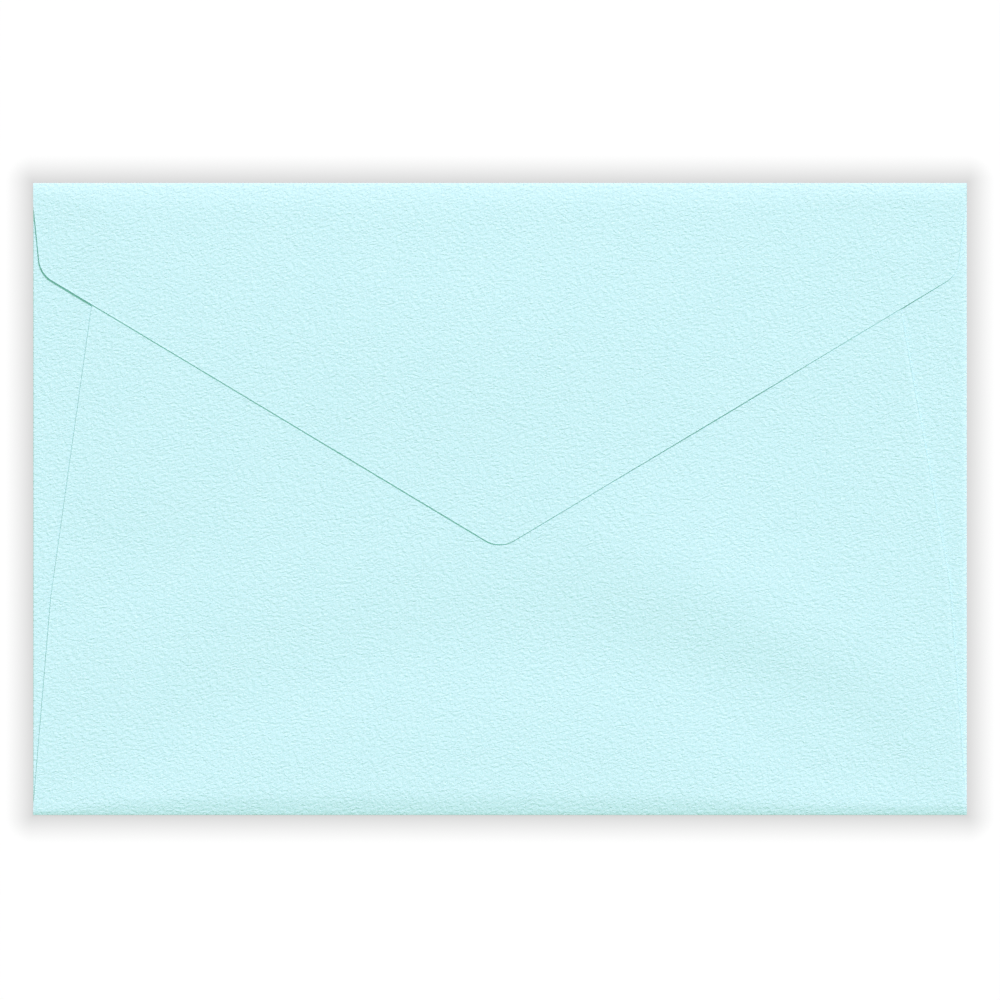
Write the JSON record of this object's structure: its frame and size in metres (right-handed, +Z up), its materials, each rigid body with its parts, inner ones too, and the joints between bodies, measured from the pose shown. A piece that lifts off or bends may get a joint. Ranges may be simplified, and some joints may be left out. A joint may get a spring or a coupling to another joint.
{
  "type": "paper envelope",
  "caption": "Pale blue paper envelope with a deep pointed flap closed over its back, folded from one sheet with glued side seams.",
  "frame": {"origin": "centre of the address side, on the surface the envelope lies on", "axes": "+X along the width, +Y from the bottom fold to the top fold, +Z up through the layers to the flap side"},
  "size_m": [0.2064, 0.1396, 0.0012],
  "materials": {
    "paper": "matt, felt-marked"
  },
  "bodies": {
    "root": {"envelope": "paper"}
  },
  "joints": []
}
